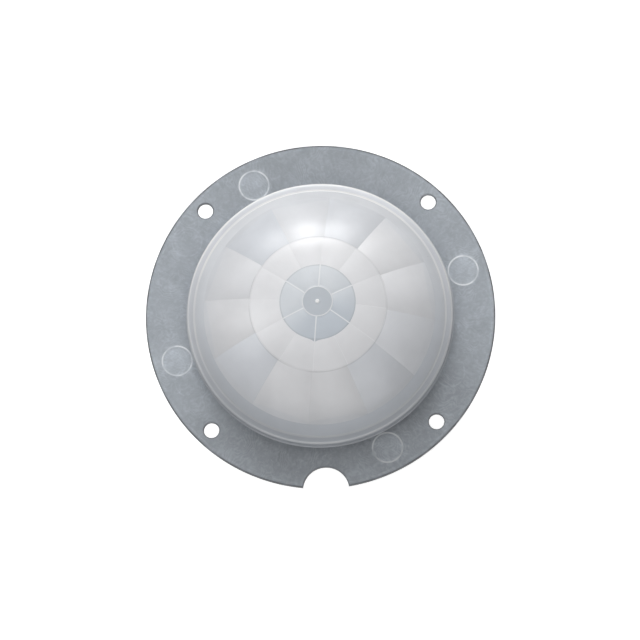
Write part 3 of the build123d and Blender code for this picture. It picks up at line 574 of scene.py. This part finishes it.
def lens_materials():
    """The lens's materials in the order of LENS_ZONES."""
    cool = (0.70, 0.735, 0.775)
    pale = (0.86, 0.88, 0.90)
    return [
        # The gate nub is near white and glossier: a painted glint
        polyethylene("lens_gate", (0.96, 0.96, 0.97), roughness=0.3).material,
        polyethylene("lens_disc", (0.55, 0.59, 0.635)).material,
        polyethylene("lens_line", (0.77, 0.79, 0.82)).material,
        facet_finish("lens_inner", cool, 6, DISC_R, INNER_R, 0.25, 0.21, pale, dark_end=0.86, fade_from=0.13,
                     cool_far=True).material,
        facet_finish("lens_middle", POLYETHYLENE, 12, INNER_R, MIDDLE_R, 0.14, 0.08, POLYETHYLENE,
                     dark_end=0.93).material,
        # The outer facets each carry their own painted light and shade
        facet_finish("lens_outer", shade(POLYETHYLENE, 0.96), 12, MIDDLE_R, OUTER_R, 0.8, border=OUTER_BORDER_ANGLE,
                     tones=FACET_PAINTED_LIGHT).material,
        # The margin and the collar carry painted shade on their side furthest from the light
        graded_finish("lens_margin", (0.80, 0.82, 0.855), 0.60, outer=0.86).material,
        graded_finish("lens_collar", (0.84, 0.86, 0.90), 0.44, sides=0.2, coat_roughness=0.16).material,
        # The collar_line zone is near white: a painted highlight on the collar's rounded top and at the dome's root
        graded_finish("lens_collar_line", (0.97, 0.98, 1.0), 0.47, sides=0.16, coat_roughness=0.16).material,
        flange_finish().material,
        flange_finish("lens_mark", 1.04).material,
        mark_line_finish().material,
        polyethylene("lens_inside", (0.62, 0.64, 0.65), coat=0.3).material,
    ]


def moulded(name, colour, roughness=0.5, grain_mm=0.02, grain_per_mm=2.2, coat=0.0, clouds=0.05):
    """A moulded plastic with a fine spark-eroded grain."""
    m = Finish(name)
    tone = m.noise(0.07, 3.0, 0.6)
    speck = m.noise(grain_per_mm, 3.0, 0.6)
    m.set(
        base_color=m.mix(m.range(tone, 0.3, 0.7), shade(colour, 1 - clouds), shade(colour, 1 + clouds)),
        roughness=m.range(speck, 0.25, 0.75, roughness - 0.07, roughness + 0.07),
        normal=m.bump(m.math("MULTIPLY", speck, grain_mm), 0.8),
        coat_weight=coat,
        coat_roughness=0.12,
    )
    return m


DIALS = ((-12.0, -13.0), (0.0, -13.0), (12.0, -13.0))
EJECTORS = ((-19.0, -4.0), (19.0, -4.0), (0.0, 19.0), (0.0, -22.5))


def housing_finish():
    """Light grey sparked plastic, with engraved scales round the three trimmers and faint ejector marks."""
    m = moulded("housing_plastic", (0.70, 0.705, 0.695), 0.5, 0.03, 2.6, clouds=0.02)
    x, y, z = m.axes()
    back = m.range(z, CUP_BACK + 0.1, CUP_BACK + 0.02)
    cut = 0.0
    for dx, dy in DIALS:
        east, north = m.math("SUBTRACT", x, dx), m.math("SUBTRACT", y, dy)
        distance = m.math("SQRT", m.math("ADD", m.math("MULTIPLY", east, east), m.math("MULTIPLY", north, north)))
        # The angle from +Y, which the scale runs 120 degrees either side of
        angle = m.math("ABSOLUTE", m.math("ARCTAN2", east, north))
        gap = m.math("MULTIPLY", m.math("PINGPONG", angle, math.radians(15)), distance)
        tick = m.math("MULTIPLY", m.range(gap, 0.17, 0.11), m.range(angle, 2.2, 2.15))
        reach = m.math("MULTIPLY", m.range(distance, 3.42, 3.5), m.range(distance, 4.38, 4.3))
        arc = m.math("MULTIPLY", m.range(distance, 3.42, 3.48), m.range(distance, 3.66, 3.6))
        arc = m.math("MULTIPLY", arc, m.range(angle, 2.14, 2.1))
        mark = m.math("MAXIMUM", m.math("MULTIPLY", tick, reach), arc)
        cut = m.math("MAXIMUM", cut, mark)
    cut = m.math("MULTIPLY", cut, back)
    rims = 0.0
    for ex, ey in EJECTORS:
        distance = m.vector("DISTANCE", m.place, (ex, ey, CUP_BACK))
        rims = m.math("MAXIMUM", rims, m.range(m.math("ABSOLUTE", m.math("SUBTRACT", distance, 2.2)), 0.16, 0.04))
    rims = m.math("MULTIPLY", rims, back)
    speck = m.noise(2.6, 3.0, 0.6)
    height = m.math("SUBTRACT", m.math("MULTIPLY", speck, 0.03), m.math("MULTIPLY", cut, 0.12))
    height = m.math("SUBTRACT", height, m.math("MULTIPLY", rims, 0.04))
    tone = m.mix(m.range(m.noise(0.07, 3.0, 0.6), 0.3, 0.7), (0.69, 0.695, 0.685), (0.72, 0.725, 0.715))
    m.set(base_color=m.mix(cut, tone, (0.16, 0.165, 0.17)), normal=m.bump(height, 0.8))
    return m


def metal(name, colour, roughness=0.28, streak=(1.0, 1.0, 12.0)):
    """A plated or drawn metal with fine drawing lines and faint stains."""
    m = Finish(name)
    drawn = m.vector("MULTIPLY", m.place, streak)
    lines = m.noise(1.2, 3.0, 0.6, place=drawn)
    stain = m.noise(0.6, 3.0, 0.6)
    m.set(
        base_color=m.mix(m.range(stain, 0.35, 0.75), colour, shade(colour, 0.82)),
        metallic=1.0,
        roughness=m.range(lines, 0.2, 0.8, roughness - 0.08, roughness + 0.1),
        normal=m.bump(m.math("MULTIPLY", lines, 0.006), 0.6),
    )
    return m


def board_finish():
    """Green solder mask over copper tracks on a laminate."""
    m = Finish("board_laminate")
    x, y, z = m.axes()
    grid = m.vector("SNAP", m.place, (1.27, 1.27, 1.27))
    cell = m.noise(0.9, 0.0, place=grid)
    track_x = m.range(m.math("PINGPONG", y, 0.635), 0.12, 0.2, 1.0, 0.0)
    track_y = m.range(m.math("PINGPONG", x, 0.635), 0.12, 0.2, 1.0, 0.0)
    chosen = m.math("GREATER_THAN", cell, 0.52)
    tracks = m.math("ADD", m.math("MULTIPLY", track_x, chosen),
                    m.math("MULTIPLY", track_y, m.math("SUBTRACT", 1.0, chosen)), clamp=True)
    m.set(
        base_color=m.mix(tracks, (0.012, 0.10, 0.045), (0.03, 0.19, 0.08)),
        roughness=m.range(m.noise(1.5, 2.0), 0.3, 0.7, 0.22, 0.34),
        normal=m.bump(m.math("MULTIPLY", tracks, 0.035), 0.8),
        coat_weight=0.4,
        coat_roughness=0.15,
    )
    return m


def glassy(name, colour, transmission, roughness=0.06):
    """A clear or tinted cast epoxy or a polished filter."""
    m = Finish(name)
    swirl = m.noise(0.5, 2.0, distortion=1.0)
    m.set(
        base_color=m.mix(swirl, shade(colour, 0.92), shade(colour, 1.06)),
        roughness=m.range(m.noise(1.0, 2.0), 0.3, 0.7, roughness, roughness + 0.06),
        transmission_weight=transmission,
        ior=1.5,
        normal=m.bump(m.math("MULTIPLY", swirl, 0.004), 0.5),
    )
    return m


SLOT_FINISHES = {
    "silicone": lambda: moulded("silicone", (0.34, 0.35, 0.36), 0.62, 0.01),
    "housing_plastic": housing_finish,
    "zinc_steel": lambda: metal("zinc_steel", (0.66, 0.67, 0.66), 0.3),
    "board_laminate": board_finish,
    "white_plastic": lambda: moulded("white_plastic", (0.78, 0.77, 0.74), 0.38, 0.008),
    "nickel_steel": lambda: metal("nickel_steel", (0.68, 0.66, 0.61), 0.2),
    "tinned_copper": lambda: metal("tinned_copper", (0.71, 0.70, 0.68), 0.27),
    "sensing_ceramic": lambda: moulded("sensing_ceramic", (0.74, 0.68, 0.58), 0.55, 0.01),
    "filter_silicon": lambda: glassy("filter_silicon", (0.03, 0.035, 0.05), 0.0, 0.08),
    "black_moulding": lambda: moulded("black_moulding", (0.022, 0.022, 0.025), 0.42, 0.012, 3.0, clouds=0.15),
    "relay_plastic": lambda: moulded("relay_plastic", (0.035, 0.10, 0.28), 0.3, 0.006, coat=0.3),
    "can_aluminium": lambda: metal("can_aluminium", (0.78, 0.78, 0.79), 0.24),
    "led_epoxy": lambda: glassy("led_epoxy", (0.75, 0.06, 0.04), 0.55),
    "sensor_epoxy": lambda: glassy("sensor_epoxy", (0.86, 0.86, 0.80), 0.7),
    "green_plastic": lambda: moulded("green_plastic", (0.02, 0.22, 0.09), 0.32, 0.006, 1.6, coat=0.25),
    "clamp_brass": lambda: metal("clamp_brass", (0.72, 0.60, 0.36), 0.25),
    "switch_plastic": lambda: moulded("switch_plastic", (0.42, 0.03, 0.03), 0.36, 0.006),
    "trimmer_plastic": lambda: moulded("trimmer_plastic", (0.03, 0.11, 0.32), 0.34, 0.006),
    "button_plastic": lambda: moulded("button_plastic", (0.62, 0.20, 0.03), 0.32, 0.004, coat=0.3),
}


def finish_cad_nodes():
    """Gives each CAD node the procedural finish of its slot."""
    made = {slot: make().material for slot, make in SLOT_FINISHES.items()}
    for row in frame["record"]["subparts"]:
        node = frame["nodes"][row["node"]]
        if row["material_slot"] in made:
            node.data.materials.clear()
            node.data.materials.append(made[row["material_slot"]])
            for face in node.data.polygons:
                face.material_index = 0


# --- Mesh building --------------------------------------------------------------------
class Shell:
    """Collects the points and faces of one piece in millimetres, then makes its object."""

    def __init__(self):
        self.points = []
        self.faces = []
        self.slots = []

    def add(self, points):
        """Adds points and returns their numbers."""
        first = len(self.points)
        self.points.extend(tuple(p) for p in points)
        return list(range(first, len(self.points)))

    def face(self, corners, slot=0):
        self.faces.append(tuple(corners))
        self.slots.append(slot)

    def bridge(self, a, b, slot=0):
        """Joins two closed loops of as many points with quads."""
        for i in range(len(a)):
            j = (i + 1) % len(a)
            self.face((a[i], a[j], b[j], b[i]), slot)

    def fan(self, loop, tip, slot=0):
        for i in range(len(loop)):
            self.face((loop[i], loop[(i + 1) % len(loop)], tip), slot)

    def make(self, name, materials, body, slot, sharp_degrees=35):
        """The finished object, its touching points merged, riding on a body."""
        bm = bmesh.new()
        verts = [bm.verts.new([c * MM for c in p]) for p in self.points]
        for corners, index in zip(self.faces, self.slots):
            face = bm.faces.new([verts[i] for i in corners])
            face.material_index = index
            face.smooth = True
        bmesh.ops.remove_doubles(bm, verts=bm.verts, dist=0.002 * MM)
        bmesh.ops.recalc_face_normals(bm, faces=bm.faces)
        mesh = bpy.data.meshes.new(name)
        bm.to_mesh(mesh)
        bm.free()
        for material in materials:
            mesh.materials.append(material)
        mesh.set_sharp_from_angle(angle=math.radians(sharp_degrees))
        piece = bpy.data.objects.new(name, mesh)
        bpy.context.scene.collection.objects.link(piece)
        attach(piece, body)
        return piece


def circle(radius, count, x=0.0, y=0.0, z=0.0):
    """A level ring of points."""
    turns = np.arange(count) * 2 * np.pi / count
    return [(x + radius * math.cos(t), y + radius * math.sin(t), z) for t in turns]


def spot(radius, degrees):
    """A place in plan, by its distance from the axis and its angle."""
    return radius * math.cos(math.radians(degrees)), radius * math.sin(math.radians(degrees))


HOLE_SPOTS = [spot(HOLE_PITCH_R, 45 + 90 * k) for k in range(4)]
STEPS = 720


def rim_outline(inset, z):
    """The flange's rim with its notch, moved inwards by inset, as a closed loop."""
    rim, notch = FLANGE_R - inset, NOTCH_R + inset
    reach = -NOTCH_Y
    # The rim and the notch cross where both circles' equations hold
    cross_y = -(rim**2 + reach**2 - notch**2) / (2 * reach)
    cross_x = math.sqrt(rim**2 - cross_y**2)
    start = math.atan2(cross_y, cross_x)
    end = math.atan2(cross_y, -cross_x) + 2 * math.pi
    points = [(rim * math.cos(t), rim * math.sin(t), z) for t in np.linspace(start, end, 480)]
    left = math.atan2(cross_y - NOTCH_Y, -cross_x)
    right = math.atan2(cross_y - NOTCH_Y, cross_x)
    arc = np.linspace(left, right, 74)[1:-1]
    return points + [(notch * math.cos(t), NOTCH_Y + notch * math.sin(t), z) for t in arc]


def flat_plate(shell, z, inner_r, inner_count, edge, rings, slot_of):
    """Fills the flange between its outline, its holes and the collar. rings are extra loops with heights."""
    loops = [rim_outline(edge, z), circle(inner_r, inner_count, z=z)]
    loops += [circle(HOLE_R + edge, 48, x, y, z) for x, y in HOLE_SPOTS]
    loops += rings
    points, edges = [], []
    for loop in loops:
        first = len(points)
        points += loop
        edges += [(first + i, first + (i + 1) % len(loop)) for i in range(len(loop))]
    fixed = np.array([p[:2] for p in points])
    for radius in np.arange(inner_r + 1.0, FLANGE_R - 0.6, 1.3):
        for x, y, _ in circle(radius, 150):
            if np.min(np.hypot(fixed[:, 0] - x, fixed[:, 1] - y)) > 0.45:
                points.append((x, y, z))
    found = geometry.delaunay_2d_cdt([Vector(p[:2]) for p in points], edges, [], 0, 1e-5)
    heights = {}
    for new, old in enumerate(found[3]):
        heights[new] = points[old[0]][2] if old else z
    numbers = shell.add((v.x, v.y, heights[i]) for i, v in enumerate(found[0]))
    for corners in found[2]:
        centre = sum((found[0][i] for i in corners), Vector((0, 0))) / len(corners)
        if centre.length < inner_r - 0.001 * inner_r:
            continue
        if (centre - Vector((0, NOTCH_Y))).length < NOTCH_R + edge - 0.001:
            continue
        if any((centre - Vector(h)).length < HOLE_R + edge - 0.005 for h in HOLE_SPOTS):
            continue
        shell.face([numbers[i] for i in corners], slot_of(centre))


def collar_profile():
    """Places (radius, height, zone) up the collar's outside and over its ledge to the dome."""
    foot = [(COLLAR_R + COLLAR_FOOT * (1 - math.sin(t)), COLLAR_FOOT * (1 - math.cos(t)), "collar")
            for t in np.linspace(0, math.pi / 2, 6)]
    turn_r, turn_z = COLLAR_R - COLLAR_ROUND, COLLAR_H - COLLAR_ROUND
    wall = [(COLLAR_R, z, "collar") for z in np.linspace(COLLAR_FOOT, turn_z, 6)[1:-1]]
    # The middle of the rounded top is the collar_line zone, with a painted highlight
    top = [(turn_r + COLLAR_ROUND * math.cos(t), turn_z + COLLAR_ROUND * math.sin(t),
            "collar_line" if 0.5 < t < 1.2 else "collar") for t in np.linspace(0, math.pi / 2, 12)]
    root_z = COLLAR_H + DOME_ROOT
    root_r = math.sqrt((DOME_R + DOME_ROOT) ** 2 - (root_z - DOME_CENTRE_Z) ** 2)
    ledge = [(r, COLLAR_H, "collar") for r in np.linspace(turn_r, root_r, 5)[1:-1]]
    meet = math.atan2(DOME_CENTRE_Z - root_z, -root_r) % (2 * math.pi)
    # The dome's root is the collar_line zone too, with a painted highlight
    root = [(root_r + DOME_ROOT * math.cos(t), root_z + DOME_ROOT * math.sin(t), "collar_line")
            for t in np.linspace(1.5 * math.pi, meet, 6)]
    return foot + wall + top + ledge + root


def sector_place(turns, sectors, border=BORDER_ANGLE):
    """How far each angle is from its sector's middle: 0 there and 1 at a border."""
    width = 2 * np.pi / sectors
    part = ((turns - math.radians(border)) / width) % 1.0
    return np.abs(part - 0.5) * 2


def inner_border(turns):
    """The inner ring of facets ends in shallow arcs that meet in a slight point at each rib, most at one."""
    lowest = np.cos(turns - math.radians(BORDER_ANGLE + 180)) > 0.86
    return INNER_R + np.where(lowest, 0.6, 0.1) * sector_place(turns, 6) ** 6


def dome_rings(turns):
    """(radii, heights, zone) for each ring of points over the dome, from the margin to the gate."""
    rings = []
    start = collar_profile()[-1][0]
    border = inner_border(turns)

    def lay(radii, relief, zone):
        lift = np.sqrt(DOME_R**2 - radii**2)
        rings.append((radii * (1 + relief / DOME_R), DOME_CENTRE_Z + lift * (1 + relief / DOME_R), zone))

    ones = np.ones(len(turns))
    for r in np.linspace(start, OUTER_R, 7)[1:-1]:
        lay(r * ones, 0 * ones, "margin")
    across = sector_place(turns, 12, OUTER_BORDER_ANGLE)
    for u in np.linspace(0, 1, 23):
        r = OUTER_R + (MIDDLE_R - OUTER_R) * u
        swell = 0.05 + 0.07 * (1 - across**2) * (1 - (2 * u - 1) ** 2)
        lay(r * ones, swell, "outer")
    across = sector_place(turns, 12)
    for u in np.linspace(0, 1, 15):
        r = MIDDLE_R + (border - MIDDLE_R) * u
        swell = 0.02 + 0.03 * (1 - across**2) * (1 - (2 * u - 1) ** 2)
        lay(r, swell, "middle")
    width = np.pi / 6
    for u in np.linspace(0, 1, 13):
        r = border + (DISC_R + 0.3 - border) * u
        gap = (1 - sector_place(turns, 6)) * width * r
        lay(r, 0.05 * np.exp(-((gap / 0.14) ** 2)), "inner")
    for r, relief in ((DISC_R + 0.26, 0.03), (DISC_R + 0.14, 0.05), (DISC_R + 0.03, 0.04)):
        lay(r * ones, relief * ones, "line")
    for r, relief in ((3.22, 0.0), (2.6, 0.0), (1.9, 0.0), (1.2, 0.0), (0.75, 0.0), (0.48, 0.03)):
        lay(r * ones, relief * ones, "disc")
    for r, relief in ((0.40, 0.12), (0.33, 0.2), (0.24, 0.235), (0.12, 0.23)):
        lay(r * ones, relief * ones, "gate")
    return rings


def ring_loops(x, y, radius, height):
    """Three loops that raise a fine rounded line round a mark."""
    return [circle(radius + side * MARK_LINE_HALF, 72, x, y, height * (1 - abs(side))) for side in (-1, 0, 1)]


def make_lens():
    """The whole lens moulding: flange, collar, faceted dome, its inside and the screw bosses."""
    zone = {name: i for i, name in enumerate(LENS_ZONES)}
    shell = Shell()
    turns = np.arange(STEPS) * 2 * np.pi / STEPS
    cosines, sines = np.cos(turns), np.sin(turns)

    def ring(radii, heights):
        return shell.add(zip(radii * cosines, radii * sines, heights + 0 * cosines))

    # Outside of the collar and the dome
    last = None
    for r, z, name in collar_profile():
        now = ring(r + 0 * cosines, z)
        if last:
            shell.bridge(last, now, zone[name])
        last = now
    for radii, heights, name in dome_rings(turns):
        now = ring(radii, heights)
        shell.bridge(last, now, zone[name])
        last = now
    tip = shell.add([(0, 0, DOME_H + 0.23)])[0]
    shell.fan(last, tip, zone["gate"])

    # Inside of the dome and the collar
    inner_r = DOME_R - DOME_WALL
    ledge_back = COLLAR_H - FLANGE_T
    foot_r = math.sqrt(inner_r**2 - (ledge_back - DOME_CENTRE_Z) ** 2)
    collar_in = COLLAR_R - COLLAR_WALL
    count = 180
    last = shell.add(circle(collar_in, count, z=-FLANGE_T))
    inside = [(collar_in, ledge_back), (foot_r, ledge_back)]
    inside += [(r, DOME_CENTRE_Z + math.sqrt(inner_r**2 - r**2)) for r in np.linspace(foot_r, 0.6, 24)[1:]]
    for r, z in inside:
        now = shell.add(circle(r, count, z=z))
        shell.bridge(last, now, zone["inside"])
        last = now
    tip = shell.add([(0, 0, DOME_CENTRE_Z + inner_r)])[0]
    shell.fan(last, tip, zone["inside"])

    # Flange, with the marks of the bosses on its face
    marks = [(*spot(BOSS_PITCH_R, a), BOSS_R, MARK_LINE_H) for a in BOSS_ANGLES]
    loops = [loop for mark in marks for loop in ring_loops(*mark)]

    def front_zone(centre):
        gap = min(math.hypot(centre.x - x, centre.y - y) - r for x, y, r, _ in marks)
        if abs(gap) <= MARK_LINE_HALF:
            return zone["mark_line"]
        return zone["flange"] if gap > 0 else zone["mark"]

    flat_plate(shell, 0.0, COLLAR_R + COLLAR_FOOT, STEPS, EDGE_BEVEL, loops, front_zone)
    flat_plate(shell, -FLANGE_T, collar_in, count, EDGE_BEVEL, [], lambda centre: zone["flange"])
    walls = [(EDGE_BEVEL, 0.0), (0.0, -EDGE_BEVEL), (0.0, EDGE_BEVEL - FLANGE_T), (EDGE_BEVEL, -FLANGE_T)]
    for make_loop in [rim_outline] + [lambda e, z, x=x, y=y: circle(HOLE_R + e, 48, x, y, z) for x, y in HOLE_SPOTS]:
        rungs = [shell.add(make_loop(e, z)) for e, z in walls]
        for a, b in zip(rungs, rungs[1:]):
            shell.bridge(a, b, zone["flange"])

    # Screw bosses on the back
    back = LENS_LOW.z
    for angle in BOSS_ANGLES:
        x, y = spot(BOSS_PITCH_R, angle)
        stages = [(BOSS_R, -FLANGE_T + 0.05), (BOSS_R, back + 0.2), (BOSS_R - 0.2, back), (PILOT_R + 0.2, back),
                  (PILOT_R, back + 0.2), (PILOT_R, back + BOSS_R)]
        rungs = [shell.add(circle(r, 48, x, y, z)) for r, z in stages]
        for a, b in zip(rungs, rungs[1:]):
            shell.bridge(a, b, zone["flange"])
        shell.face(rungs[-1], zone["flange"])

    piece = shell.make("lens_moulding", lens_materials(), "sensor", "lens_polyethylene", 40)
    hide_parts("fresnel_lens")


finish_cad_nodes()
make_lens()
